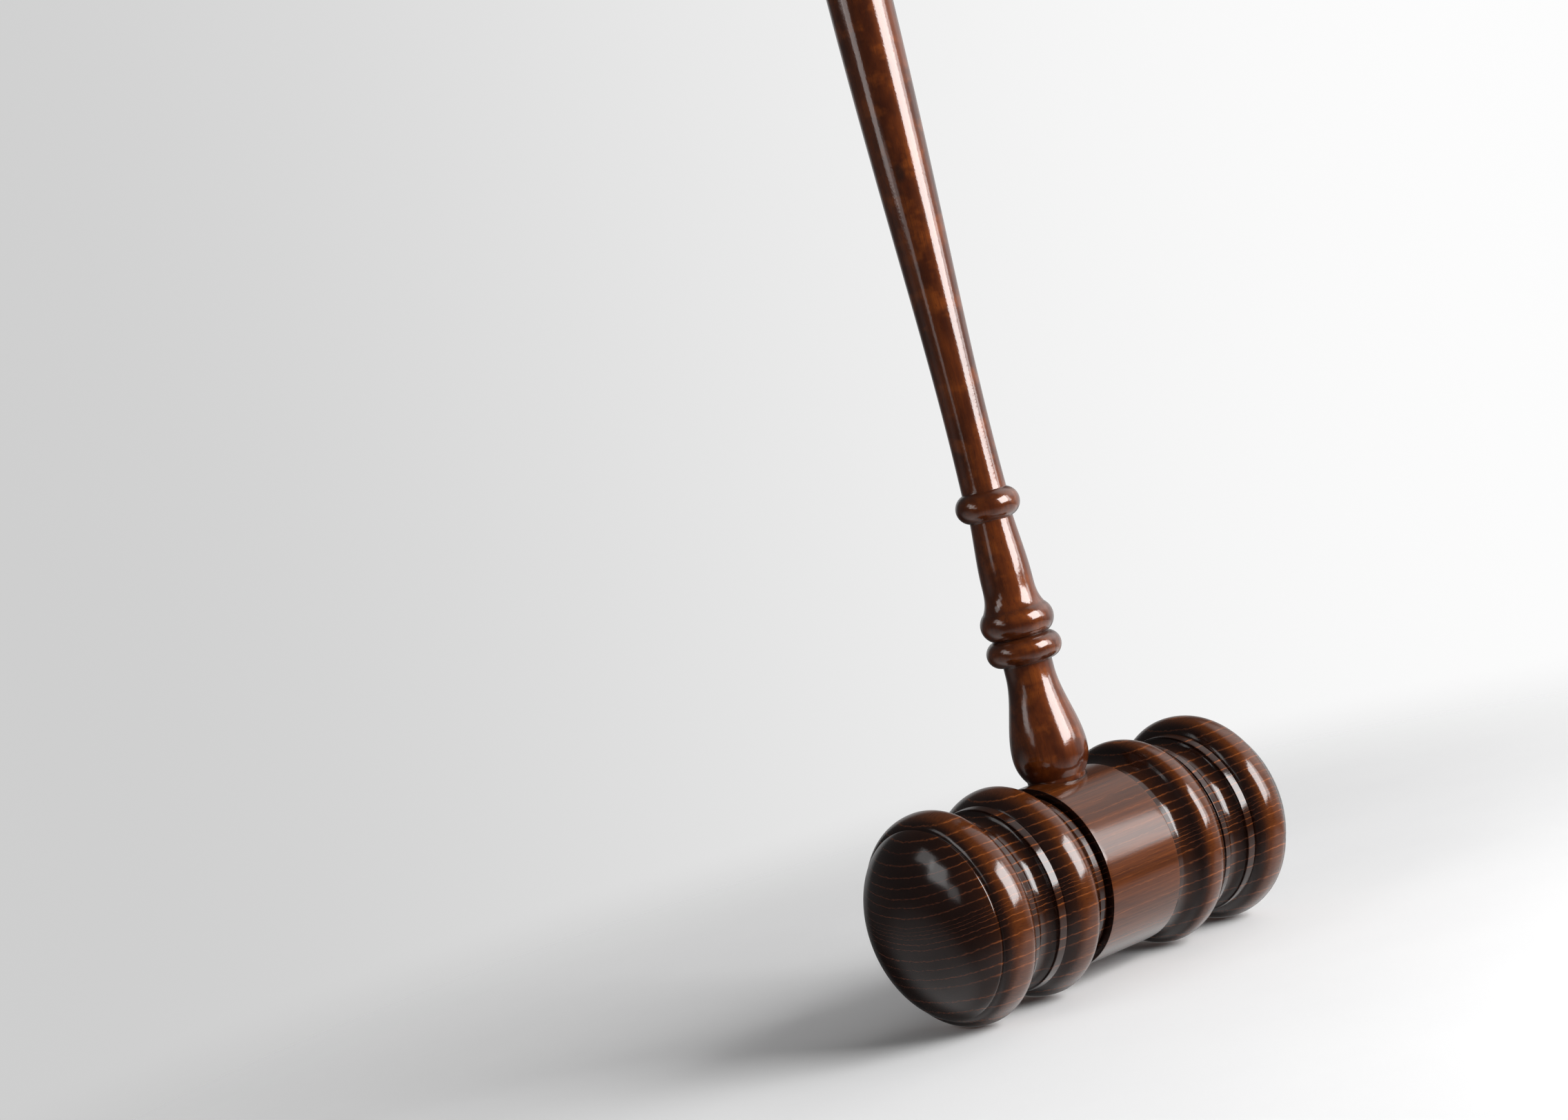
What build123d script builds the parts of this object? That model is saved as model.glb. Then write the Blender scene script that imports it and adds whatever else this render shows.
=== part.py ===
from build123d import *
import math
import os

# Oversized turned gavel: a turned head lying on its two rims, and a turned handle
# whose shoulder beds on the head's middle band and whose tenon is glued and
# fox-wedged in a blind socket.
# Millimetres. +Z runs up the handle, +X along the head, origin on the floor
# under the middle of the head.

# Head: turned about its own length, the same at both ends
rim_radius = 62.5           # outer rims, the largest radius
rim_offset = 102.6          # middle of the head to the crest of an outer rim
rim_outer_depth = 8.0       # radial half-axis of the elliptical outer side of a rim
rim_foot_offset = 91.2      # where a rim's inner flank ends
rim_foot_radius = 53.2
crease_offset = 116.0       # bottom of the fine crease between an outer rim and its domed face
crease_radius = 55.1
dome_edge_offset = 117.0    # edge of the domed face, beside the crease
dome_edge_radius = 55.65
dome_edge_rounding = 0.5
dome_height = 20.6          # domed striking face, beyond its edge
dome_roundness = 76.4       # degrees of the ellipse that the dome uses
land_foot_radius = 54.9     # narrow lands on both sides of each neck cove, at the foot of a rim or ring
land_edge_radius = 54.1     # the same lands beside the cove
land_width = 4.8
land_step = 1.1             # land down to the edge of the cove
cove_radius = 47.6          # lowest point of the neck cove
ring_radius = 61.8          # inner rings
ring_offset = 50.4
ring_foot_offset = 66.0     # where a ring's outer flank ends
ring_foot_radius = 52.7
ring_turn_offset = 42.8     # where a ring's inner side turns from round to hollow
ring_turn_radius = 57.2
inner_land_radius = 50.4    # narrow land between that hollow and the groove beside the band
inner_land_outer = 34.2
inner_land_inner = 29.9
groove_radius = 46.5        # flat bottom of that groove
groove_wall_lean = 0.6      # lean of both groove walls over their height
band_radius = 54.0          # plain middle band that carries the handle
band_half_width = 27.3
band_edge_radius = 0.8

# Joint between handle and head
glue_gap = 0.1              # radial room for glue round the tenon and the foot
tenon_radius = 13.0
tenon_length = 68.0
tenon_chamfer = 1.5
socket_spare = 2.0          # room under the tenon
foot_radius = 17.2          # straight collar at the bottom of the handle's foot
foot_rise = 3.4             # height of that collar

# Wedge in the end of the tenon, spreading it along the head's grain
wedge_length = 34.0
wedge_thick_end = 4.0
wedge_thin_end = 0.8
wedge_width = 22.0

# Handle: heights are above the head's axis
belly_height = 73.0
belly_radius = 22.2
throat_height = 117.0
throat_radius = 14.4
bead_low = 122.5            # thin bead above the foot
bead_crest = 130.6
bead_crest_radius = 22.2
bead_groove = 138.4         # tight groove between the two beads
bead_groove_radius = 16.4
collar_crest = 147.6        # second bead, under the flared neck
collar_crest_radius = 21.7
collar_top = 155.2
collar_top_radius = 18.2
flare_height = 172.0
flare_radius = 15.1
ring_low = 208.0            # single ring above the neck
ring_low_radius = 12.7
ring_crest = 216.6
ring_crest_radius = 19.0
ring_top = 225.0
ring_top_radius = 13.2
waist_height = 268.0        # slimmest part of the shaft
waist_radius = 12.9
rise_height = 380.0         # shaft swelling towards the grip
rise_radius = 15.6
grip_height = 516.0
grip_radius = 18.6
swell_height = 590.0        # thickest part of the grip
swell_radius = 19.0
butt_height = 728.0         # where the grip starts to round over
butt_radius = 15.6
handle_top = 750.0

head_height = rim_radius
seat_height = math.sqrt(band_radius**2 - foot_radius**2) - 0.3
tenon_bottom = seat_height - tenon_length
socket_bottom = tenon_bottom - socket_spare
socket_radius = tenon_radius + glue_gap
spot_face_radius = foot_radius + glue_gap

# Upright plane through the head's axis: first coordinate along X, second up
profile_plane = Plane(origin=(0, 0, head_height), x_dir=(1, 0, 0), z_dir=(0, -1, 0))
head_axis = Axis((0, 0, head_height), (1, 0, 0))

same = 0.01                 # two radii closer than this are one

os.makedirs("parts", exist_ok=True)

# Head
dome_angle = math.radians(dome_roundness)
dome_across = dome_edge_radius / math.sin(dome_angle)
dome_along = dome_height / (1 - math.cos(dome_angle))
dome_centre = dome_edge_offset - dome_along * math.cos(dome_angle)
head_half_length = dome_centre + dome_along
rim_centre_radius = rim_radius - rim_outer_depth
crease_angle = math.asin((crease_radius - rim_centre_radius) / rim_outer_depth)
rim_outer_reach = (crease_offset - rim_offset) / math.cos(crease_angle)
outer_land = rim_foot_offset - land_width
inner_land = ring_foot_offset + land_width
cove_middle = (outer_land + inner_land) / 2
cove_edge_radius = land_edge_radius - land_step
groove_foot = band_half_width + groove_wall_lean
groove_side = inner_land_inner - groove_wall_lean

with BuildPart() as head:
    with BuildSketch(profile_plane) as head_outline:
        with BuildLine():
            dome = EllipticalCenterArc((dome_centre, 0), dome_along, dome_across, 0, arc_size=dome_roundness)
            Line(dome @ 1, (crease_offset, crease_radius))
            EllipticalCenterArc(
                (rim_offset, rim_centre_radius),
                rim_outer_reach,
                rim_outer_depth,
                math.degrees(crease_angle),
                arc_size=90 - math.degrees(crease_angle),
            )
            rim = TangentArc((rim_offset, rim_radius), (rim_foot_offset, rim_foot_radius), tangent=(-1, 0))
            Polyline(
                rim @ 1,
                (rim_foot_offset, land_foot_radius),
                (outer_land, land_edge_radius),
                (outer_land, cove_edge_radius),
            )
            cove = ThreePointArc(
                (outer_land, cove_edge_radius),
                (cove_middle, cove_radius),
                (inner_land, cove_edge_radius),
            )
            Polyline(
                cove @ 1,
                (inner_land, land_edge_radius),
                (ring_foot_offset, land_foot_radius),
                (ring_foot_offset, ring_foot_radius),
            )
            TangentArc((ring_offset, ring_radius), (ring_foot_offset, ring_foot_radius), tangent=(1, 0))
            ring = TangentArc(
                (ring_offset, ring_radius),
                (ring_turn_offset, ring_turn_radius),
                tangent=(-1, 0),
            )
            TangentArc(ring @ 1, (inner_land_outer, inner_land_radius), tangent=ring % 1)
            Polyline(
                (inner_land_outer, inner_land_radius),
                (inner_land_inner, inner_land_radius),
                (groove_side, groove_radius),
                (groove_foot, groove_radius),
                (band_half_width, band_radius),
            )
            mirror(about=Plane.YZ)
            Line((-band_half_width, band_radius), (band_half_width, band_radius))
            Line((-head_half_length, 0), (head_half_length, 0))
        make_face()
        dome_edges = head_outline.vertices().filter_by(lambda v: abs(abs(v.X) - dome_edge_offset) < same)
        fillet(dome_edges, dome_edge_rounding)
    revolve(axis=head_axis)
    circles = head.edges().filter_by(GeomType.CIRCLE)
    band_edges = circles.filter_by(lambda e: abs(e.radius - band_radius) < same)
    fillet(band_edges, band_edge_radius)
    # Flat spot face for the handle's foot, then the blind socket for its tenon
    with BuildSketch(Plane.XY.offset(head_height + seat_height)):
        Circle(spot_face_radius)
    extrude(amount=rim_radius, mode=Mode.SUBTRACT)
    with BuildSketch(Plane.XY.offset(head_height + socket_bottom)):
        Circle(socket_radius)
    extrude(amount=seat_height - socket_bottom, mode=Mode.SUBTRACT)
head.part.label = "head"
export_step(head.part, "parts/head.step")

# Side outline of the wedge, and of the slot that it fills in the end of the tenon
wedge_top = tenon_bottom + wedge_length

with BuildSketch(profile_plane) as wedge_outline:
    with BuildLine():
        Polyline(
            (-wedge_thick_end / 2, tenon_bottom),
            (wedge_thick_end / 2, tenon_bottom),
            (wedge_thin_end / 2, wedge_top),
            (-wedge_thin_end / 2, wedge_top),
            close=True,
        )
    make_face()

# Handle
with BuildPart() as handle:
    with BuildSketch(profile_plane):
        with BuildLine():
            Polyline(
                (0, tenon_bottom),
                (tenon_radius - tenon_chamfer, tenon_bottom),
                (tenon_radius, tenon_bottom + tenon_chamfer),
                (tenon_radius, seat_height),
                (foot_radius, seat_height),
                (foot_radius, seat_height + foot_rise),
            )
            foot = Spline(
                (foot_radius, seat_height + foot_rise),
                (belly_radius, belly_height),
                (throat_radius, throat_height),
                tangents=((0.75, 1), (0, 1)),
            )
            Line(foot @ 1, (throat_radius, bead_low))
            ThreePointArc(
                (throat_radius, bead_low),
                (bead_crest_radius, bead_crest),
                (bead_groove_radius, bead_groove),
            )
            ThreePointArc(
                (bead_groove_radius, bead_groove),
                (collar_crest_radius, collar_crest),
                (collar_top_radius, collar_top),
            )
            Spline(
                (collar_top_radius, collar_top),
                (flare_radius, flare_height),
                (ring_low_radius, ring_low),
                tangents=((-0.6, 1), (-0.06, 1)),
            )
            ThreePointArc(
                (ring_low_radius, ring_low),
                (ring_crest_radius, ring_crest),
                (ring_top_radius, ring_top),
            )
            shaft = Spline(
                (ring_top_radius, ring_top),
                (waist_radius, waist_height),
                (rise_radius, rise_height),
                (grip_radius, grip_height),
                (swell_radius, swell_height),
                (butt_radius, butt_height),
                tangents=((-0.02, 1), (-0.1, 1)),
            )
            Spline(shaft @ 1, (0, handle_top), tangents=((-0.1, 1), (-1, 0)))
            Line((0, handle_top), (0, tenon_bottom))
        make_face()
    revolve(axis=Axis.Z)
    extrude(wedge_outline.sketch, amount=2 * tenon_radius, both=True, mode=Mode.SUBTRACT)
handle.part.label = "handle"
export_step(handle.part, "parts/handle.step")

# Wedge
with BuildPart() as wedge:
    extrude(wedge_outline.sketch, amount=wedge_width / 2, both=True)
wedge.part.label = "wedge"
export_step(wedge.part, "parts/wedge.step")
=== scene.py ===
"""Looks for the oversized turned gavel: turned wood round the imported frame, studio, lights and camera."""

import math

import bmesh
import bpy
from mathutils import Matrix, Vector


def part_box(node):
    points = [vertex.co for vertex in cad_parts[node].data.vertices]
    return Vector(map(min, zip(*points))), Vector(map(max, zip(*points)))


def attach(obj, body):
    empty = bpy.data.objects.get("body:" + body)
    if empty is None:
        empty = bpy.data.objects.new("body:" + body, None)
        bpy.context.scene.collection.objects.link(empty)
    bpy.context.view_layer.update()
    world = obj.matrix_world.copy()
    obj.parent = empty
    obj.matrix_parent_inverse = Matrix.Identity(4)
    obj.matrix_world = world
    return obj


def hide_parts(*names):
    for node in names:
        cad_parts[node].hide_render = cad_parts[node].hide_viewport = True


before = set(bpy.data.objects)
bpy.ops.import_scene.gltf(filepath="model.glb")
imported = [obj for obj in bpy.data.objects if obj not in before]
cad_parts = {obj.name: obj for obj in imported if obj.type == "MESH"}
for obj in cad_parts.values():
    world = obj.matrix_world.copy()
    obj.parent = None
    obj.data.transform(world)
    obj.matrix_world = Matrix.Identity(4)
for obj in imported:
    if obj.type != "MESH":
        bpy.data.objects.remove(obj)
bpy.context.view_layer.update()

MM = 0.001

# The frame's own boxes give the head's axis, its half length and its largest radius
HEAD_LOW, HEAD_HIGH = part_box("head")
HANDLE_LOW, HANDLE_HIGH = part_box("handle")
RIM_RADIUS = (HEAD_HIGH.z - HEAD_LOW.z) / 2
HEAD_AXIS_Z = HEAD_LOW.z + RIM_RADIUS
HEAD_HALF_LENGTH = HEAD_HIGH.x

# Head outline, millimetres from the middle of the head and from its axis
RIM_CREST = 102.6
RIM_OUTER_DEPTH = 8.0
RIM_FOOT = (91.2, 53.2)
CREASE = (116.0, 55.1)
DOME_EDGE = (117.0, 55.65)
DOME_EDGE_REACH = 0.7
DOME_ROUNDNESS = 76.4
LAND_FOOT_RADIUS = 54.9
LAND_EDGE_RADIUS = 54.1
LAND_WIDTH = 4.8
LAND_STEP = 1.1
COVE_RADIUS = 47.6
RING_RADIUS = 61.8
RING_CREST = 50.4
RING_FOOT = (66.0, 52.7)
RING_TURN = (42.8, 57.2)
INNER_LAND = ((34.2, 50.4), (29.9, 50.4))
GROOVE = ((29.3, 46.5), (27.9, 46.5))
BAND_EDGE = (27.3, 54.0)
BAND_RADIUS = BAND_EDGE[1]

# Joint, millimetres. The seat lies SEAT_SINK below the lowest place where the foot meets the band, the
# cutter for the socket stands CUTTER_SPARE above the band, and GLUE_LINE is the width of the dark line of
# glue and grime round the foot.
SOCKET_RADIUS = 13.1
TENON_RADIUS = 13.0
SPOT_FACE_RADIUS = 17.3
FOOT_RADIUS = 17.2
FOOT_RISE = 3.4
SEAT_SINK = 0.3
SEAT_HEIGHT = math.sqrt(BAND_RADIUS**2 - FOOT_RADIUS**2) - SEAT_SINK
TENON_CHAMFER = 1.5
SOCKET_SPARE = 2.0
CUTTER_SPARE = 8.0
GLUE_LINE = 1.4

# Handle outline, millimetres: radius, then height above the head's axis
BELLY = (22.2, 73.0)
THROAT = (14.4, 117.0)
BEAD = ((14.4, 122.5), (22.2, 130.6), (16.4, 138.4))
COLLAR = ((16.4, 138.4), (21.7, 147.6), (18.2, 155.2))
FLARE = ((18.2, 155.2), (15.1, 172.0), (12.7, 208.0))
RING = ((12.7, 208.0), (19.0, 216.6), (13.2, 225.0))
SHAFT = ((13.2, 225.0), (12.9, 268.0), (15.6, 380.0), (18.6, 516.0), (19.0, 590.0), (15.6, 728.0))
HANDLE_TOP = (HANDLE_HIGH.z - HEAD_AXIS_Z) / MM

# How far each turned piece is out of round, as a share of its radius
OVAL = 0.0006

# Corners round each turned mesh
HEAD_AROUND = 192
HANDLE_AROUND = 160
CUTTER_AROUND = 144

# Radius, mm, at which the lathe's tool marks have their true length round the head
TOOL_MARK_RADIUS = 55.0

# Edges sharper than this, degrees, are shaded sharp
SHARP_ANGLE = 40

# Growth rings of the head's block, mm: its pith line runs along the head, high above it
PITH = (0.0, -9.1, HEAD_AXIS_Z / MM + 188.6)
GROWTH_RINGS = (
    120, 127, 133, 139.5, 145, 151, 156.7, 162, 167.5, 172.5, 178.4, 183.8, 186.3, 188.2, 190.5, 193.6,
    196.8, 203.5, 209.2, 215.2, 220.5, 230.2, 237.4, 245, 253, 262,
)

# The handle's blank, mm: spacing of its growth rings, where its pith runs, and the small knot in the shaft
HANDLE_RING_WIDTH = 3.4
HANDLE_PITH = (48.0, -22.0, 0.0)
KNOT = (-14.0, -12.0, 475.5)

# The band's look ends within this distance, mm, of its edge
BAND_FADE = 0.4

# The glue line shows only high on the head, mm above its axis
GLUE_LINE_FROM = 40.0
GLUE_LINE_FULL = 42.0

# Stain and wood colours, linear
BLACK_BROWN = (0.0125, 0.0036, 0.0015)
CHOCOLATE = (0.027, 0.0072, 0.0022)
# Thinner stain; on the crests it also stands in for a painted glow of light
RUBBED_BROWN_AND_CREST_GLOW = (0.096, 0.0235, 0.0038)
DARK_FIBRE = (0.014, 0.004, 0.0018)
LATE_WOOD = (0.29, 0.078, 0.016)
END_GRAIN_DARK = (0.012, 0.0045, 0.0034)
END_GRAIN_LATE = (0.17, 0.056, 0.03)
# Darker in the hollows of the head's outline
HOLLOW_DARK = (0.012, 0.004, 0.0026)
GLUE = (0.01, 0.004, 0.003)
DEEP_RED_BROWN = (0.036, 0.0068, 0.0018)
RED_BROWN = (0.115, 0.0245, 0.0044)
FLAME = (0.2, 0.047, 0.0066)
HANDLE_RING = (0.035, 0.008, 0.003)
HANDLE_FIBRE = (0.028, 0.007, 0.003)
PORE = (0.014, 0.005, 0.003)
# Darker in the hollows of the handle's outline
HANDLE_HOLLOW_DARK = (0.018, 0.006, 0.004)
HANDLE_END_GRAIN = (0.035, 0.01, 0.0045)
KNOT_BROWN = (0.02, 0.007, 0.004)
OAK_PALE = (0.42, 0.25, 0.12)
OAK_DARK = (0.27, 0.14, 0.06)
SATIN_TINT = (1.0, 0.25, 0.05, 1.0)
PAPER_DARK = (0.86, 0.86, 0.865)
PAPER_PALE = (0.9, 0.9, 0.9)

# Dark studio round the object, and the soft patches of light in it: azimuth, elevation, how far the patch
# reaches and how far it stays full, in degrees, then its radiance
DARK_STUDIO = 0.07
STUDIO_PATCHES = (
    (60, 0, 32, 14, 0.35),
    (10, 0, 34, 12, 0.6),
    (-12, 42, 36, 8, 1.05),
    (-28, 8, 34, 10, 0.45),
    (140, -32, 38, 12, 0.3),
)

# The floor's glow in the lacquer grows as directions turn down, given by the height of their unit vector.
# It is stronger in one patch and shaded in another, each with the same five numbers as above.
FLOOR_GLOW = 0.4
FLOOR_GLOW_FROM = -0.32
FLOOR_GLOW_FULL = -0.8
NEAR_FLOOR_PATCH = (-8, -42, 62, 26, 0.65)
NEAR_FLOOR_FULL = -0.42
SHADED_FLOOR_PATCH = (78, -30, 38, 16, 0.85)

# Backdrop: the azimuth it brightens towards, and its tone from one cosine off that azimuth to another
BACKDROP_BRIGHT_SIDE = -38
BACKDROP_COSINES = (-0.27, 0.27)
BACKDROP_TONES = (0.62, 0.98)

# Softboxes that face the middle of the head, in degrees and metres. The key light and its dimmer edge stand
# to the camera's right, the panes of a window to its left.
KEY_DISTANCE = 2.0
KEY_TILT = 8.0
WINDOW_DISTANCE = 1.3
WINDOW_TILT = -12.0
KEY_BOXES = {
    "key": dict(azimuth=-69.5, elevation=23.5, width=1.14, height=1.3, radiance=13.3),
    "key_edge": dict(azimuth=-45.5, elevation=21, width=0.4, height=1.2, radiance=5.5),
}
WINDOW_PANES = {
    "pane_1": dict(azimuth=156, elevation=39, width=0.36, height=0.34, radiance=1.5),
    "pane_2": dict(azimuth=170, elevation=29.5, width=0.38, height=0.4, radiance=2.5),
    "pane_3": dict(azimuth=183, elevation=18, width=0.26, height=0.24, radiance=1.2),
}

# Floor, metres: half its side, and the distances over which it fades into the backdrop
FLOOR_HALF_SIDE = 4.0
FLOOR_FADE_FROM = 0.3
FLOOR_FADE_TO = 0.95

# Camera, metres and degrees
CAMERA_LENS = 71.0
CAMERA_PLACE = (-1.1911, -1.3337, 0.3657)
CAMERA_TARGET = (-0.0877, 0.0856, 0.2769)
CAMERA_ROLL = -14.4


# ---------------------------------------------------------------- outlines

def arc_through(a, b, c, step=0.25):
    """Points along the circular arc from a through b to c."""
    (ax, ay), (bx, by), (cx, cy) = a, b, c
    d = 2 * (ax * (by - cy) + bx * (cy - ay) + cx * (ay - by))
    ux = ((ax**2 + ay**2) * (by - cy) + (bx**2 + by**2) * (cy - ay) + (cx**2 + cy**2) * (ay - by)) / d
    uy = ((ax**2 + ay**2) * (cx - bx) + (bx**2 + by**2) * (ax - cx) + (cx**2 + cy**2) * (bx - ax)) / d
    radius = math.hypot(ax - ux, ay - uy)
    start, middle, end = (math.atan2(y - uy, x - ux) for x, y in (a, b, c))
    turn = (end - start) % math.tau
    if (middle - start) % math.tau > turn:
        turn -= math.tau
    count = max(4, round(abs(turn) * radius / step))
    return [
        (ux + radius * math.cos(start + turn * i / count), uy + radius * math.sin(start + turn * i / count))
        for i in range(count + 1)
    ]


def arc_from_crest(crest, foot, step=0.25):
    """Points along the circular arc that leaves crest level with the axis and ends at foot."""
    reach, drop = foot[0] - crest[0], crest[1] - foot[1]
    radius = (reach**2 + drop**2) / (2 * drop)
    turn = math.atan2(abs(reach), radius - drop)
    count = max(4, round(turn * radius / step))
    return [
        (
            crest[0] + math.copysign(radius * math.sin(turn * i / count), reach),
            crest[1] - radius + radius * math.cos(turn * i / count),
        )
        for i in range(count + 1)
    ]


def arc_onward(last_two, end, step=0.25):
    """Points along the circular arc that carries on smoothly from the last two points and stops at end."""
    (ax, ay), (bx, by) = last_two
    heading = math.atan2(by - ay, bx - ax)
    chord = math.atan2(end[1] - by, end[0] - bx)
    turn = 2 * math.remainder(chord - heading, math.tau)
    radius = math.dist((bx, by), end) / 2 / math.sin(turn / 2)
    count = max(4, round(abs(turn * radius) / step))
    cx, cy = bx - radius * math.sin(heading), by + radius * math.cos(heading)
    headings = [heading + turn * i / count for i in range(1, count + 1)]
    return [(cx + radius * math.sin(h), cy - radius * math.cos(h)) for h in headings]


def smooth_curve(points, start_slope, end_slope, step=0.5):
    """Points along a smooth curve through (radius, height) points: a cubic spline with given end slopes."""
    heights = [p[1] for p in points]
    radii = [p[0] for p in points]
    n = len(points)
    # Slopes that make the second derivative continuous, by the usual tridiagonal system
    lower, middle, upper, right = [0.0], [1.0], [0.0], [start_slope]
    for i in range(1, n - 1):
        before, after = heights[i] - heights[i - 1], heights[i + 1] - heights[i]
        lower.append(1 / before)
        middle.append(2 * (1 / before + 1 / after))
        upper.append(1 / after)
        right.append(3 * ((radii[i] - radii[i - 1]) / before**2 + (radii[i + 1] - radii[i]) / after**2))
    lower.append(0.0)
    middle.append(1.0)
    right.append(end_slope)
    upper.append(0.0)
    for i in range(1, n):
        factor = lower[i] / middle[i - 1]
        middle[i] -= factor * upper[i - 1]
        right[i] -= factor * right[i - 1]
    slopes = [0.0] * n
    slopes[-1] = right[-1] / middle[-1]
    for i in range(n - 2, -1, -1):
        slopes[i] = (right[i] - upper[i] * slopes[i + 1]) / middle[i]
    curve = []
    for i in range(n - 1):
        span = heights[i + 1] - heights[i]
        count = max(2, round(span / step))
        for k in range(count):
            t = k / count
            value = (
                (2 * t**3 - 3 * t**2 + 1) * radii[i]
                + (t**3 - 2 * t**2 + t) * span * slopes[i]
                + (3 * t**2 - 2 * t**3) * radii[i + 1]
                + (t**3 - t**2) * span * slopes[i + 1]
            )
            curve.append((value, heights[i] + t * span))
    curve.append((radii[-1], heights[-1]))
    return curve


def resample(points, step):
    """The polyline's points at even distances along it."""
    distances = [0.0]
    for a, b in zip(points, points[1:]):
        distances.append(distances[-1] + math.dist(a, b))
    count = round(distances[-1] / step)
    result, k = [], 0
    for i in range(count + 1):
        target = distances[-1] * i / count
        while k < len(points) - 2 and distances[k + 1] < target:
            k += 1
        span = distances[k + 1] - distances[k]
        t = (target - distances[k]) / span if span else 0.0
        result.append(tuple(p + (q - p) * t for p, q in zip(points[k], points[k + 1])))
    return result


def soften(points, reach):
    """Rounds every corner of an evenly stepped outline by averaging each point with its neighbours."""
    weights = [math.exp(-((2 * k / reach) ** 2)) for k in range(-reach, reach + 1)]
    total = sum(weights)
    result = []
    for i in range(len(points)):
        if i < reach or i >= len(points) - reach:
            result.append(points[i])
            continue
        window = points[i - reach:i + reach + 1]
        result.append(tuple(sum(w * p[axis] for w, p in zip(weights, window)) / total for axis in (0, 1)))
    return result


def round_corner(points, corner, reach):
    """Swaps the points within reach of a corner for a curve that runs on smoothly at both its ends."""
    near = [i for i, p in enumerate(points) if math.dist(p, corner) < reach]
    before, after = points[near[0] - 1], points[near[-1] + 1]
    steps = 14
    curve = []
    for i in range(1, steps):
        t = i / steps
        curve.append(tuple(
            (1 - t) ** 2 * a + 2 * t * (1 - t) * c + t**2 * b for a, c, b in zip(before, corner, after)
        ))
    return points[:near[0]] + curve + points[near[-1] + 1:]


def add_hollow(points, radius_axis, reach):
    """Adds how far, in mm, each point lies below its neighbours: above 0 in hollows, below 0 on crests."""
    result = []
    for i, point in enumerate(points):
        window = points[max(0, i - reach):i + reach + 1]
        mean = sum(p[radius_axis] for p in window) / len(window)
        result.append((*point, mean - point[radius_axis]))
    return result


def thin_out(points, tolerance, longest):
    """Drops points that lie within tolerance of a straight run no longer than longest."""
    kept = [points[0]]
    start = 0
    while start < len(points) - 1:
        end = start + 1
        while end + 1 < len(points) and math.dist(points[start][:2], points[end + 1][:2]) <= longest:
            (ax, ay), (bx, by) = points[start][:2], points[end + 1][:2]
            length = math.dist((ax, ay), (bx, by)) or 1.0
            off = max(
                abs((bx - ax) * (p[1] - ay) - (by - ay) * (p[0] - ax)) / length
                for p in points[start + 1:end + 1]
            )
            if off > tolerance:
                break
            end += 1
        kept.append(points[end])
        start = end
    return kept


def half_head_outline():
    """From the dome's tip to the edge of the band: (distance from the middle, radius)."""
    angle = math.radians(DOME_ROUNDNESS)
    across = DOME_EDGE[1] / math.sin(angle)
    along = (HEAD_HALF_LENGTH / MM - DOME_EDGE[0]) / (1 - math.cos(angle))
    centre = DOME_EDGE[0] - along * math.cos(angle)
    steps = 260
    outline = [
        (centre + along * math.cos(angle * i / steps), across * math.sin(angle * i / steps))
        for i in range(steps + 1)
    ]
    outline += resample([DOME_EDGE, CREASE], step=0.1)[1:]
    outline = round_corner(outline, DOME_EDGE, DOME_EDGE_REACH)
    rim_centre = RIM_RADIUS / MM - RIM_OUTER_DEPTH
    start = math.asin((CREASE[1] - rim_centre) / RIM_OUTER_DEPTH)
    reach = (CREASE[0] - RIM_CREST) / math.cos(start)
    steps = 60
    for i in range(1, steps + 1):
        turn = start + (math.pi / 2 - start) * i / steps
        outline.append((RIM_CREST + reach * math.cos(turn), rim_centre + RIM_OUTER_DEPTH * math.sin(turn)))
    outline += arc_from_crest((RIM_CREST, RIM_RADIUS / MM), RIM_FOOT)[1:]
    outer_land = RIM_FOOT[0] - LAND_WIDTH
    inner_land = RING_FOOT[0] + LAND_WIDTH
    cove_edge = LAND_EDGE_RADIUS - LAND_STEP
    outline += [(RIM_FOOT[0], LAND_FOOT_RADIUS), (outer_land, LAND_EDGE_RADIUS)]
    outline += arc_through(
        (outer_land, cove_edge), ((outer_land + inner_land) / 2, COVE_RADIUS), (inner_land, cove_edge)
    )
    outline += [(inner_land, LAND_EDGE_RADIUS), (RING_FOOT[0], LAND_FOOT_RADIUS)]
    ring = (RING_CREST, RING_RADIUS)
    outline += reversed(arc_from_crest(ring, RING_FOOT))
    convex = arc_from_crest(ring, RING_TURN)
    outline += convex[1:]
    outline += arc_onward(convex[-2:], INNER_LAND[0])
    outline += [INNER_LAND[1], *GROOVE, BAND_EDGE]
    return outline


def head_outline():
    """From tip to tip: (distance from the middle, radius, how far the point lies in a hollow)."""
    half = half_head_outline()
    whole = half + [(-x, r) for x, r in reversed(half)]
    even = soften(resample(whole, step=0.15), reach=4)
    thin = thin_out(add_hollow(even, radius_axis=1, reach=34), tolerance=0.006, longest=3.0)
    return [(x, max(r, 0.0), hollow) for x, r, hollow in thin]


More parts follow.
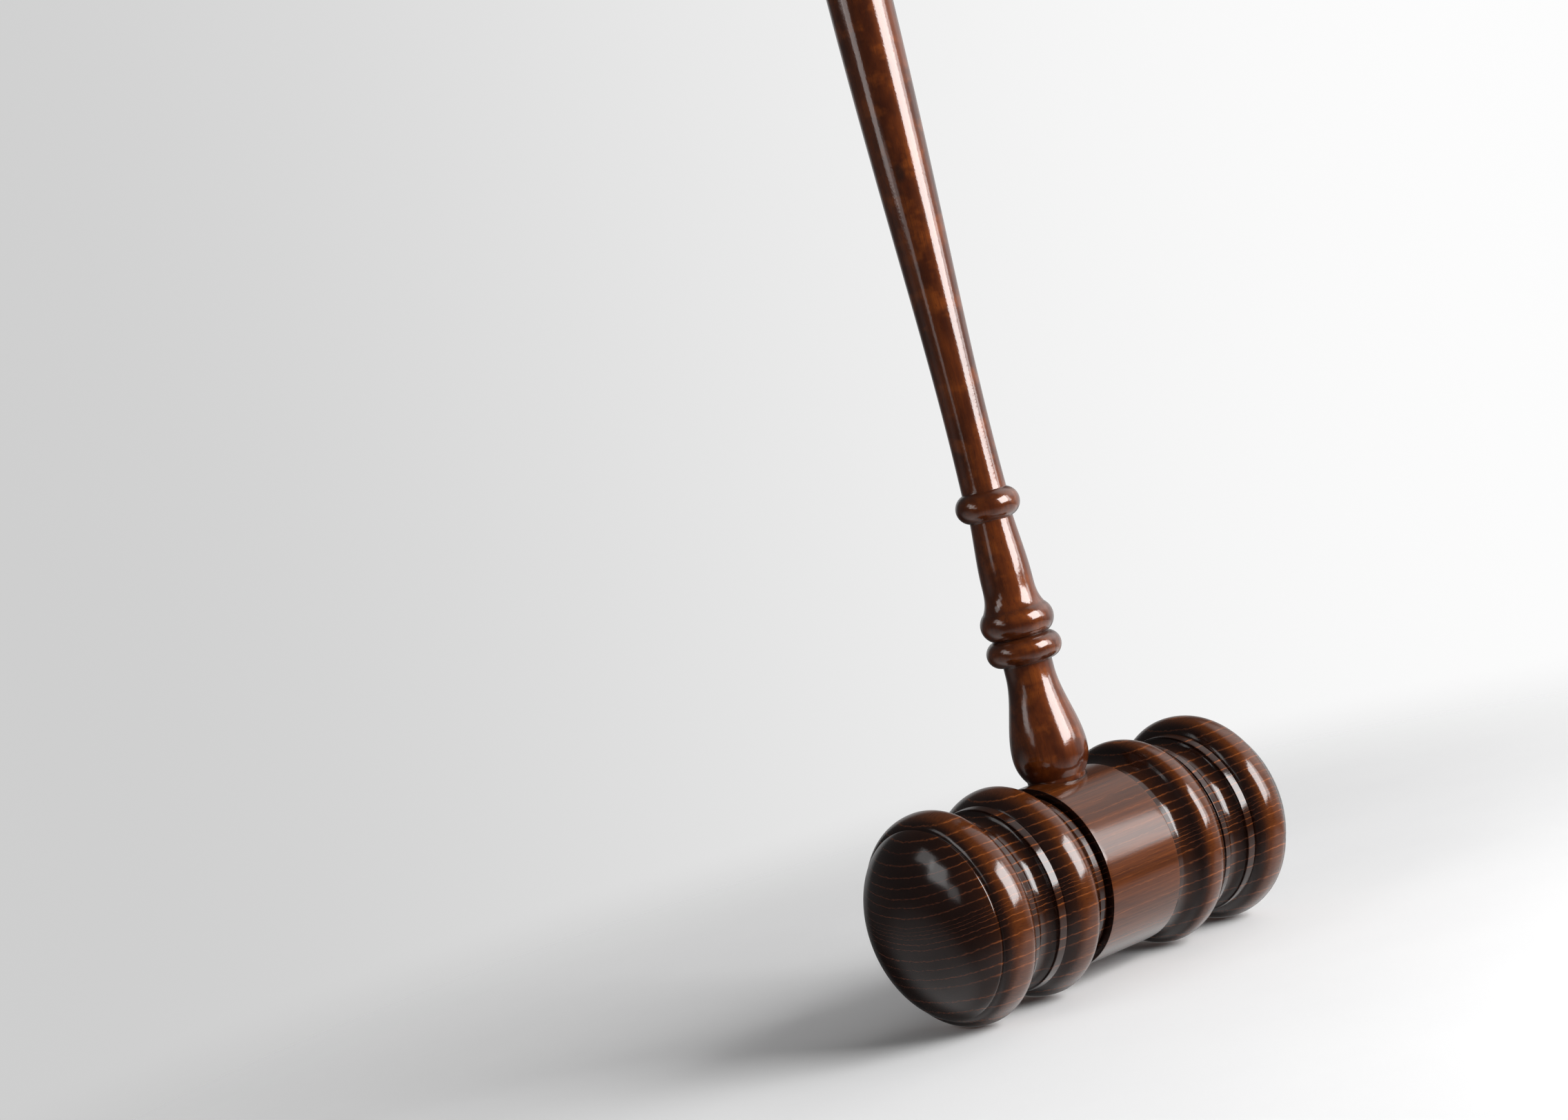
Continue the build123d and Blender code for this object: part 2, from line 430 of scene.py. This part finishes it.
def handle_outline():
    """From the end of the tenon to the top of the grip: (radius, height above the head's axis, hollow)."""
    tenon_end = (HANDLE_LOW.z - HEAD_AXIS_Z) / MM
    outline = [
        (0.0, tenon_end),
        (TENON_RADIUS - TENON_CHAMFER, tenon_end),
        (TENON_RADIUS, tenon_end + TENON_CHAMFER),
        (TENON_RADIUS, SEAT_HEIGHT),
        (FOOT_RADIUS, SEAT_HEIGHT),
    ]
    collar_top = SEAT_HEIGHT + FOOT_RISE
    outline += smooth_curve(((FOOT_RADIUS, collar_top), BELLY, THROAT), 0.75, 0.0)
    outline += arc_through(*BEAD)
    outline += arc_through(*COLLAR)[1:]
    outline += smooth_curve(FLARE, -0.6, -0.06)[1:]
    outline += arc_through(*RING)[1:]
    outline += smooth_curve(SHAFT, -0.02, -0.1)[1:]
    butt_radius, butt_height = SHAFT[-1]
    steps = 60
    rise = HANDLE_TOP - butt_height
    for i in range(1, steps + 1):
        angle = math.pi / 2 * i / steps
        outline.append((butt_radius * math.cos(angle), butt_height + rise * math.sin(angle)))
    even = soften(resample(outline, step=0.2), reach=3)
    thin = thin_out(add_hollow(even, radius_axis=0, reach=20), tolerance=0.008, longest=5.0)
    return [(max(r, 0.0), z, hollow) for r, z, hollow in thin]


# ---------------------------------------------------------------- meshes

def lathe(name, rings, around, hollows=None):
    """A closed turned mesh. rings are functions of the angle, from one end's centre point to the other's."""
    mesh = bpy.data.meshes.new(name)
    verts, faces = [rings[0](0.0)], []
    for ring in rings[1:-1]:
        verts += [ring(math.tau * k / around) for k in range(around)]
    verts.append(rings[-1](0.0))
    last = len(verts) - 1
    top = 1 + (len(rings) - 3) * around
    for k in range(around):
        following = (k + 1) % around
        faces.append((0, 1 + following, 1 + k))
        for row in range(len(rings) - 3):
            a, b = 1 + row * around, 1 + (row + 1) * around
            faces.append((a + k, a + following, b + following, b + k))
        faces.append((last, top + k, top + following))
    mesh.from_pydata(verts, [], faces)
    mesh.update()
    if hollows:
        values = [hollows[0]] + [h for h in hollows[1:-1] for _ in range(around)] + [hollows[-1]]
        mesh.attributes.new("hollow", "FLOAT", "POINT").data.foreach_set("value", values)
    bm = bmesh.new()
    bm.from_mesh(mesh)
    bmesh.ops.recalc_face_normals(bm, faces=bm.faces)
    bm.to_mesh(mesh)
    bm.free()
    for polygon in mesh.polygons:
        polygon.use_smooth = True
    piece = bpy.data.objects.new(name, mesh)
    bpy.context.scene.collection.objects.link(piece)
    return piece


def head_ring(x, radius):
    """One turn round the head's axis, a hair oval as dried wood is."""
    def place(angle):
        r = radius * MM * (1 + OVAL * math.cos(2 * angle + 0.7))
        return (x * MM, r * math.cos(angle), HEAD_AXIS_Z + r * math.sin(angle))
    return place


def handle_ring(radius, height):
    """One turn round the handle's axis."""
    def place(angle):
        r = radius * MM * (1 + OVAL * math.cos(2 * angle - 0.4))
        return (r * math.cos(angle), r * math.sin(angle), HEAD_AXIS_Z + height * MM)
    return place


def cut(piece, cutter):
    """Cuts cutter's shape out of piece for good."""
    modifier = piece.modifiers.new("cut", "BOOLEAN")
    modifier.operation = "DIFFERENCE"
    modifier.solver = "EXACT"
    modifier.object = cutter
    bpy.context.view_layer.update()
    depsgraph = bpy.context.evaluated_depsgraph_get()
    result = bpy.data.meshes.new_from_object(piece.evaluated_get(depsgraph))
    piece.modifiers.clear()
    old = piece.data
    piece.data = result
    bpy.data.meshes.remove(old)
    bpy.data.objects.remove(cutter)


def build_head():
    """The turned block with the handle's spot face and blind socket cut into it."""
    outline = head_outline()
    rings = [head_ring(x, r) for x, r, _ in outline]
    head = lathe("turned_head", rings, HEAD_AROUND, [hollow for _, _, hollow in outline])
    socket_bottom = (HANDLE_LOW.z - HEAD_AXIS_Z) / MM - SOCKET_SPARE
    clear = BAND_RADIUS + CUTTER_SPARE
    socket = [
        (0.0, socket_bottom), (SOCKET_RADIUS, socket_bottom), (SOCKET_RADIUS, SEAT_HEIGHT),
        (SPOT_FACE_RADIUS, SEAT_HEIGHT), (SPOT_FACE_RADIUS, clear), (0.0, clear),
    ]
    cutter = lathe("socket_cutter", [handle_ring(r, z) for r, z in socket], CUTTER_AROUND)
    cut(head, cutter)
    head.data.set_sharp_from_angle(angle=math.radians(SHARP_ANGLE))
    return head


def build_handle():
    """The turned handle with its tenon."""
    outline = handle_outline()
    rings = [handle_ring(r, z) for r, z, _ in outline]
    handle = lathe("turned_handle", rings, HANDLE_AROUND, [hollow for _, _, hollow in outline])
    handle.data.set_sharp_from_angle(angle=math.radians(SHARP_ANGLE))
    return handle


# ---------------------------------------------------------------- node graphs

class Graph:
    """Shorthand for writing a node tree: every method adds a node and returns what it puts out."""

    def __init__(self, tree):
        self.tree = tree

    def add(self, kind, inputs=None, **settings):
        node = self.tree.nodes.new(kind)
        for name, value in settings.items():
            setattr(node, name, value)
        for key, value in (inputs or {}).items():
            socket = node.inputs[key]
            if isinstance(value, bpy.types.NodeSocket):
                self.tree.links.new(value, socket)
            else:
                socket.default_value = value
        return node

    def math(self, operation, *values):
        return self.add("ShaderNodeMath", dict(enumerate(values)), operation=operation).outputs[0]

    def vector(self, operation, *values, scale=None):
        inputs = dict(enumerate(values))
        if scale is not None:
            inputs["Scale"] = scale
        node = self.add("ShaderNodeVectorMath", inputs, operation=operation)
        return node.outputs["Value" if operation in ("LENGTH", "DOT_PRODUCT") else "Vector"]

    def split(self, vector):
        return self.add("ShaderNodeSeparateXYZ", {0: vector}).outputs

    def noise(self, place, stretch, detail=2.0, roughness=0.5, colour=False):
        """Noise whose features are about one unit across once place is multiplied by stretch."""
        stretched = self.vector("MULTIPLY", place, stretch)
        inputs = {"Vector": stretched, "Scale": 1.0, "Detail": detail, "Roughness": roughness}
        node = self.add("ShaderNodeTexNoise", inputs, noise_dimensions="3D")
        return node.outputs["Color" if colour else "Fac"]

    def span(self, value, low, high, to_low=0.0, to_high=1.0, smooth=True):
        """value carried from low..high to to_low..to_high and held there."""
        inputs = {"Value": value, "From Min": low, "From Max": high, "To Min": to_low, "To Max": to_high}
        kind = "SMOOTHSTEP" if smooth else "LINEAR"
        return self.add("ShaderNodeMapRange", inputs, interpolation_type=kind, clamp=True).outputs["Result"]

    def mix(self, factor, a, b):
        """Colour a where factor is 0, colour b where it is 1."""
        a, b = (v if isinstance(v, bpy.types.NodeSocket) else (*v, 1.0) for v in (a, b))
        return self.add("ShaderNodeMix", {0: factor, 6: a, 7: b}, data_type="RGBA").outputs[2]

    def ramp(self, factor, stops):
        node = self.add("ShaderNodeValToRGB", {"Fac": factor})
        elements = node.color_ramp.elements
        while len(elements) < len(stops):
            elements.new(0.5)
        for element, (position, value) in zip(elements, stops):
            element.position = position
            element.color = (value, value, value, 1.0)
        return node.outputs["Color"]

    def attribute(self, name):
        return self.add("ShaderNodeAttribute", attribute_name=name, attribute_type="GEOMETRY").outputs["Fac"]


def new_material(name):
    """A new material, its node graph and its Principled shader."""
    material = bpy.data.materials.new(name)
    material.use_nodes = True
    return material, Graph(material.node_tree), material.node_tree.nodes["Principled BSDF"]


# ---------------------------------------------------------------- materials

def lacquer(graph, shader, colour, roughness, bump, coat_bump, *, coat_roughness, coat_ior, satin):
    """Stained wood with a satin glow of its own, under a clear glossy lacquer."""
    inputs = shader.inputs
    graph.tree.links.new(colour, inputs["Base Color"])
    graph.tree.links.new(roughness, inputs["Roughness"])
    graph.tree.links.new(bump, inputs["Normal"])
    graph.tree.links.new(coat_bump, inputs["Coat Normal"])
    inputs["Specular IOR Level"].default_value = satin
    inputs["Specular Tint"].default_value = SATIN_TINT
    inputs["Coat Weight"].default_value = 1.0
    inputs["Coat Roughness"].default_value = coat_roughness
    inputs["Coat IOR"].default_value = coat_ior


def head_wood():
    """Dark stained softwood: chocolate rings parted by thin, broken, pale late-wood lines along the head."""
    material, g, shader = new_material("head_wood")
    coordinates = g.add("ShaderNodeTexCoord").outputs
    place = g.vector("SCALE", coordinates["Object"], scale=1 / MM)
    from_middle = g.vector("SUBTRACT", place, (0.0, 0.0, HEAD_AXIS_Z / MM))
    off_axis = g.vector("MULTIPLY", from_middle, (0.0, 1.0, 1.0))
    radius = g.vector("LENGTH", off_axis)
    along = g.split(place)[0]
    on_band = g.span(g.math("ABSOLUTE", along), BAND_EDGE[0], BAND_EDGE[0] + BAND_FADE, 1.0, 0.0)
    fibres = g.noise(place, (0.03, 1.1, 1.1), detail=4.0, roughness=0.65)

    late = late_wood_lines(g, place, on_band)
    # Lighter on the crests (thinner stain and a painted glow of light) and in streaks on the band (thinner
    # stain)
    base = g.mix(rubbed_wood_and_crest_glow(g, place, radius, on_band), head_stain(g, place), RUBBED_BROWN_AND_CREST_GLOW)
    base = g.mix(g.span(fibres, 0.4, 0.72, 0.0, 0.5), base, DARK_FIBRE)
    colour = g.mix(late, base, LATE_WOOD)
    end_grain = g.span(g.math("ABSOLUTE", g.split(coordinates["Normal"])[0]), 0.35, 0.9, 0.0, 0.85)
    end_late = g.math("MULTIPLY", late, 0.7)
    colour = g.mix(end_grain, colour, g.mix(end_late, END_GRAIN_DARK, END_GRAIN_LATE))
    # Darker in the outline's hollows, by how far each point lies below its neighbours
    colour = g.mix(g.span(g.attribute("hollow"), 0.8, 2.4, 0.0, 0.2), colour, HOLLOW_DARK)
    colour = g.mix(glue_round_foot(g, place, g.split(off_axis)[2]), colour, GLUE)
    roughness = g.span(fibres, 0.3, 0.7, 0.4, 0.52)

    grain = g.add("ShaderNodeBump", {"Height": fibres, "Strength": 0.25, "Distance": 0.0002}).outputs[0]
    skin = head_skin(g, place, off_axis, along, radius, fibres)
    lacquer(g, shader, colour, roughness, grain, skin, coat_roughness=0.13, coat_ior=1.5, satin=0.05)
    return material


def head_stain(g, place):
    """The stain over the whole head, blotched from black brown to chocolate."""
    blotches = g.noise(place, (0.02, 0.06, 0.06), detail=4.0)
    return g.mix(g.span(blotches, 0.35, 0.65), BLACK_BROWN, CHOCOLATE)


def rubbed_wood_and_crest_glow(g, place, radius, on_band):
    """Lighter wood: thinner stain in streaks along the band, and on the crests of rims and rings thinner
    stain plus a painted glow of light.
    """
    streaks = g.noise(place, (0.008, 0.16, 0.16), detail=2.0)
    # Crests lighter all the way round: partly rubbed-through stain, partly a painted glow of light
    on_crest = g.span(radius, 57.5, 62.0, 0.0, 0.7)
    return g.math("MAXIMUM", on_crest, g.math("MULTIPLY", on_band, g.span(streaks, 0.36, 0.64, 0.4, 0.85)))


def late_wood_lines(g, place, on_band):
    """1 on the thin line that ends each growth ring, weaker in some years, in places and on the band."""
    slow = g.vector("SUBTRACT", g.noise(place, (0.006, 0.02, 0.02), colour=True), (0.5, 0.5, 0.5))
    quick = g.vector("SUBTRACT", g.noise(place, (0.2, 0.4, 0.4), detail=4.0, colour=True), (0.5, 0.5, 0.5))
    bent = g.vector("MULTIPLY_ADD", slow, (0.0, 6.0, 6.0), place)
    bent = g.vector("MULTIPLY_ADD", quick, (0.0, 1.8, 1.8), bent)
    from_pith = g.vector("MULTIPLY", g.vector("SUBTRACT", bent, PITH), (0.0, 1.0, 1.0))
    age = ring_age(g, g.vector("LENGTH", from_pith))
    late = g.ramp(g.math("FRACT", age), (
        (0.0, 1.0), (0.03, 0.6), (0.08, 0.1), (0.18, 0.0), (0.88, 0.0), (0.96, 0.2), (1.0, 1.0)
    ))
    year_number = g.math("ROUND", age)
    year = g.add("ShaderNodeTexWhiteNoise", {"W": year_number}, noise_dimensions="1D").outputs["Value"]
    breaks = g.noise(place, (0.09, 0.5, 0.5), detail=5.0, roughness=0.65)
    late = g.math("MULTIPLY", late, g.span(breaks, 0.36, 0.56, 0.25, 1.0))
    late = g.math("MULTIPLY", late, g.span(year, 0.0, 1.0, 0.55, 1.0, smooth=False))
    return g.math("MULTIPLY", late, g.span(on_band, 0.0, 1.0, 1.0, 0.35))


def glue_round_foot(g, place, above_axis):
    """The dark line round the spot face in which the handle's foot beds."""
    from_handle = g.vector("LENGTH", g.vector("MULTIPLY", place, (1.0, 1.0, 0.0)))
    line = g.span(from_handle, SPOT_FACE_RADIUS, SPOT_FACE_RADIUS + GLUE_LINE, 0.9, 0.0)
    return g.math("MULTIPLY", line, g.span(above_axis, GLUE_LINE_FROM, GLUE_LINE_FULL))


def head_skin(g, place, off_axis, along, radius, fibres):
    """Bump of the head's lacquer: orange peel, tool marks that run round the head, and some of the grain."""
    turn = g.math("ARCTAN2", g.split(off_axis)[1], g.split(off_axis)[2])
    way_round = g.math("MULTIPLY", turn, TOOL_MARK_RADIUS)
    round_place = g.add("ShaderNodeCombineXYZ", {0: along, 1: way_round, 2: radius}).outputs[0]
    tool_marks = g.noise(round_place, (1.6, 0.22, 0.0), detail=2.0)
    peel = g.noise(place, (0.9, 0.9, 0.9), detail=2.0)
    skin = g.math("ADD", g.math("MULTIPLY", peel, 0.5), g.math("MULTIPLY", tool_marks, 0.35))
    skin = g.math("ADD", skin, g.math("MULTIPLY", fibres, 0.3))
    return g.add("ShaderNodeBump", {"Height": skin, "Strength": 0.3, "Distance": 0.00012}).outputs[0]


def ring_age(g, radius):
    """Which growth ring a distance from the pith falls in: a number that is whole at each late-wood line."""
    low, high, last = GROWTH_RINGS[0], GROWTH_RINGS[-1], len(GROWTH_RINGS) - 1
    along = g.span(radius, low, high, smooth=False)
    node = g.add("ShaderNodeFloatCurve", {"Value": along})
    curve = node.mapping.curves[0]
    for _ in GROWTH_RINGS[2:]:
        curve.points.new(0.5, 0.5)
    for number, (point, ring) in enumerate(zip(curve.points, GROWTH_RINGS)):
        point.location = ((ring - low) / (high - low), number / last)
        point.handle_type = "VECTOR"
    node.mapping.update()
    return g.math("MULTIPLY", node.outputs[0], float(last))


def handle_wood():
    """Red-brown stained hardwood: long faint grain, cloudy figure, small dark pores and one small knot."""
    material, g, shader = new_material("handle_wood")
    coordinates = g.add("ShaderNodeTexCoord").outputs
    place = g.vector("SCALE", coordinates["Object"], scale=1 / MM)
    fibres = g.noise(place, (1.3, 1.3, 0.035), detail=3.0, roughness=0.6)
    knot_distance = g.vector(
        "LENGTH", g.vector("MULTIPLY", g.vector("SUBTRACT", place, KNOT), (1.0, 1.0, 0.55))
    )

    base = handle_figure(g, place, fibres, g.span(knot_distance, 2.0, 16.0, 1.0, 0.0))
    # Darker in the outline's hollows, by how far each point lies below its neighbours
    base = g.mix(g.span(g.attribute("hollow"), 0.3, 1.6, 0.0, 0.75), base, HANDLE_HOLLOW_DARK)
    end_grain = g.span(g.math("ABSOLUTE", g.split(coordinates["Normal"])[2]), 0.3, 0.95, 0.0, 0.6)
    base = g.mix(end_grain, base, HANDLE_END_GRAIN)
    seat = HEAD_AXIS_Z / MM + SEAT_HEIGHT
    base = g.mix(g.span(g.split(place)[2], seat, seat + GLUE_LINE, 0.9, 0.0), base, GLUE)
    colour = g.mix(g.span(knot_distance, 2.2, 4.6, 0.9, 0.0), base, KNOT_BROWN)
    roughness = g.span(fibres, 0.3, 0.7, 0.28, 0.4)

    grain = g.add("ShaderNodeBump", {"Height": fibres, "Strength": 0.25, "Distance": 0.0002}).outputs[0]
    peel = g.noise(place, (0.9, 0.9, 0.6), detail=2.0)
    skin = g.math("ADD", peel, g.math("MULTIPLY", fibres, 0.2))
    skin_bump = g.add("ShaderNodeBump", {"Height": skin, "Strength": 0.3, "Distance": 0.00012}).outputs[0]
    lacquer(g, shader, colour, roughness, grain, skin_bump, coat_roughness=0.11, coat_ior=1.6, satin=0.28)
    return material


def handle_figure(g, place, fibres, near_knot):
    """Colour of the handle's wood: clouds and flame under faint rings that bend round the knot, and pores."""
    slow = g.vector("SUBTRACT", g.noise(place, (0.03, 0.03, 0.008), colour=True), (0.5, 0.5, 0.5))
    bent = g.vector("MULTIPLY_ADD", slow, (16.0, 16.0, 0.0), place)
    from_pith = g.vector("MULTIPLY", g.vector("SUBTRACT", bent, HANDLE_PITH), (1.0, 1.0, 0.0))
    age = g.math("DIVIDE", g.vector("LENGTH", from_pith), HANDLE_RING_WIDTH)
    season = g.math("FRACT", g.math("ADD", age, near_knot))
    line = g.ramp(season, ((0.0, 1.0), (0.2, 0.25), (0.5, 0.0), (0.85, 0.3), (1.0, 1.0)))
    clouds = g.noise(place, (0.05, 0.05, 0.022), detail=4.0, roughness=0.6)
    flame = g.noise(bent, (0.06, 0.06, 0.09), detail=3.0, roughness=0.55)
    pores = g.noise(place, (1.6, 1.6, 0.16), detail=1.0)
    base = g.mix(g.span(clouds, 0.35, 0.68), DEEP_RED_BROWN, RED_BROWN)
    base = g.mix(g.span(flame, 0.48, 0.7, 0.0, 0.65), base, FLAME)
    base = g.mix(g.math("MULTIPLY", line, 0.3), base, HANDLE_RING)
    base = g.mix(g.span(fibres, 0.4, 0.75, 0.0, 0.4), base, HANDLE_FIBRE)
    return g.mix(g.span(pores, 0.66, 0.78, 0.0, 0.65), base, PORE)


def wedge_wood():
    """Plain pale oak for the wedge, which the joint hides."""
    material, g, shader = new_material("wedge_wood")
    place = g.vector("SCALE", g.add("ShaderNodeTexCoord").outputs["Object"], scale=1 / MM)
    fibres = g.noise(place, (1.4, 1.4, 0.06), detail=3.0)
    colour = g.mix(g.span(fibres, 0.35, 0.65), OAK_PALE, OAK_DARK)
    g.tree.links.new(colour, shader.inputs["Base Color"])
    g.tree.links.new(g.span(fibres, 0.3, 0.7, 0.6, 0.75), shader.inputs["Roughness"])
    bump = g.add("ShaderNodeBump", {"Height": fibres, "Strength": 0.4, "Distance": 0.0003}).outputs[0]
    g.tree.links.new(bump, shader.inputs["Normal"])
    return material


def floor_paper():
    """Pale studio paper, which fades into the backdrop away from the object and shows in no reflection."""
    material, g, shader = new_material("floor_paper")
    place = g.add("ShaderNodeTexCoord").outputs["Object"]
    mottle = g.noise(place, (9.0, 9.0, 9.0), detail=3.0)
    colour = g.mix(mottle, PAPER_DARK, PAPER_PALE)
    g.tree.links.new(colour, shader.inputs["Base Color"])
    shader.inputs["Roughness"].default_value = 0.85
    shader.inputs["Specular IOR Level"].default_value = 0.2
    distance = g.vector("LENGTH", g.vector("MULTIPLY", place, (1.0, 1.0, 0.0)))
    glossy = g.add("ShaderNodeLightPath").outputs["Is Glossy Ray"]
    faded = g.span(distance, FLOOR_FADE_FROM, FLOOR_FADE_TO)
    inputs = {0: g.math("MAXIMUM", glossy, faded), 1: shader.outputs[0]}
    clear = g.add("ShaderNodeBsdfTransparent")
    blend = g.add("ShaderNodeMixShader", inputs)
    g.tree.links.new(clear.outputs[0], blend.inputs[2])
    output = next(n for n in g.tree.nodes if n.type == "OUTPUT_MATERIAL")
    g.tree.links.new(blend.outputs[0], output.inputs["Surface"])
    return material


# ---------------------------------------------------------------- stage

def direction(azimuth, elevation):
    """Unit vector: azimuth turns from +X towards +Y."""
    a, e = math.radians(azimuth), math.radians(elevation)
    return Vector((math.cos(e) * math.cos(a), math.cos(e) * math.sin(a), math.sin(e)))


def build_floor():
    """A flat floor under the object."""
    mesh = bpy.data.meshes.new("floor")
    bm = bmesh.new()
    bmesh.ops.create_grid(bm, x_segments=24, y_segments=24, size=FLOOR_HALF_SIDE)
    bm.to_mesh(mesh)
    bm.free()
    floor = bpy.data.objects.new("floor", mesh)
    bpy.context.scene.collection.objects.link(floor)
    floor.data.materials.append(floor_paper())


def build_world():
    """What the camera sees is a pale backdrop, brighter to the right. What lights the object and shows in its
    lacquer is a dark studio with soft patches of light and a glow where the floor is."""
    world = bpy.data.worlds.new("studio")
    world.use_nodes = True
    g = Graph(world.node_tree)
    way = g.add("ShaderNodeTexCoord").outputs["Generated"]
    side = g.vector("DOT_PRODUCT", way, direction(BACKDROP_BRIGHT_SIDE, 0))
    backdrop = g.span(side, *BACKDROP_COSINES, *BACKDROP_TONES)

    def patch(azimuth, elevation, edge, core, strength):
        """Light that fills core degrees round a direction and fades out at edge degrees."""
        near = g.vector("DOT_PRODUCT", way, direction(azimuth, elevation))
        shape = g.span(near, math.cos(math.radians(edge)), math.cos(math.radians(core)))
        return g.math("MULTIPLY", shape, strength)

    up = g.split(way)[2]
    studio = DARK_STUDIO
    for numbers in STUDIO_PATCHES:
        studio = g.math("ADD", studio, patch(*numbers))
    floor_glow = g.span(up, FLOOR_GLOW_FROM, FLOOR_GLOW_FULL, 0.0, FLOOR_GLOW)
    below = g.span(up, FLOOR_GLOW_FROM, NEAR_FLOOR_FULL)
    near_floor = g.math("MULTIPLY", patch(*NEAR_FLOOR_PATCH), below)
    floor_glow = g.math("ADD", floor_glow, near_floor)
    unshaded = g.math("SUBTRACT", 1.0, patch(*SHADED_FLOOR_PATCH))
    studio = g.math("MULTIPLY", g.math("ADD", studio, floor_glow), unshaded)
    seen = g.add("ShaderNodeLightPath").outputs["Is Camera Ray"]
    light = g.add("ShaderNodeMix", {0: seen, 2: studio, 3: backdrop}, data_type="FLOAT").outputs[0]
    background = world.node_tree.nodes["Background"]
    g.tree.links.new(light, background.inputs["Color"])
    background.inputs["Strength"].default_value = 1.0
    bpy.context.scene.world = world


def softbox(name, distance, tilt, azimuth, elevation, width, height, radiance):
    """A rectangular light that faces the middle of the head and that the camera doesn't see."""
    data = bpy.data.lights.new(name, "AREA")
    data.shape = "RECTANGLE"
    data.size = width
    data.size_y = height
    data.energy = radiance * math.pi * width * height
    light = bpy.data.objects.new(name, data)
    bpy.context.scene.collection.objects.link(light)
    light.location = direction(azimuth, elevation) * distance
    aim(light, (0.0, 0.0, HEAD_AXIS_Z), tilt)
    light.visible_camera = False


def aim(thing, target, roll=0.0):
    """Points thing's -Z at target, then rolls it by roll degrees."""
    forward = (Vector(target) - thing.location).normalized()
    turn = forward.to_track_quat("-Z", "Y").to_matrix().to_4x4()
    roll_turn = Matrix.Rotation(math.radians(roll), 4, "Z")
    thing.matrix_world = Matrix.Translation(thing.location) @ turn @ roll_turn


def build_camera():
    """The camera, rolled so that the upright object shows leaning."""
    data = bpy.data.cameras.new("camera")
    data.lens = CAMERA_LENS
    data.sensor_width = 36.0
    camera = bpy.data.objects.new("camera", data)
    bpy.context.scene.collection.objects.link(camera)
    camera.location = CAMERA_PLACE
    aim(camera, CAMERA_TARGET, CAMERA_ROLL)
    bpy.context.scene.camera = camera


# ---------------------------------------------------------------- assembly

head = build_head()
handle = build_handle()
head.data.materials.clear()
head.data.materials.append(head_wood())
handle.data.materials.append(handle_wood())
for piece, node, slot in ((head, "head", "head_wood"), (handle, "handle", "handle_wood")):
    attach(piece, "root")
    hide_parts(node)
wedge = bpy.data.objects["wedge"]
for slot in wedge.material_slots:
    slot.material = wedge_wood()

build_floor()
build_world()
for name, box in KEY_BOXES.items():
    softbox(name, distance=KEY_DISTANCE, tilt=KEY_TILT, **box)
for name, pane in WINDOW_PANES.items():
    softbox(name, distance=WINDOW_DISTANCE, tilt=WINDOW_TILT, **pane)
build_camera()
bpy.context.scene.view_settings.view_transform = "Standard"
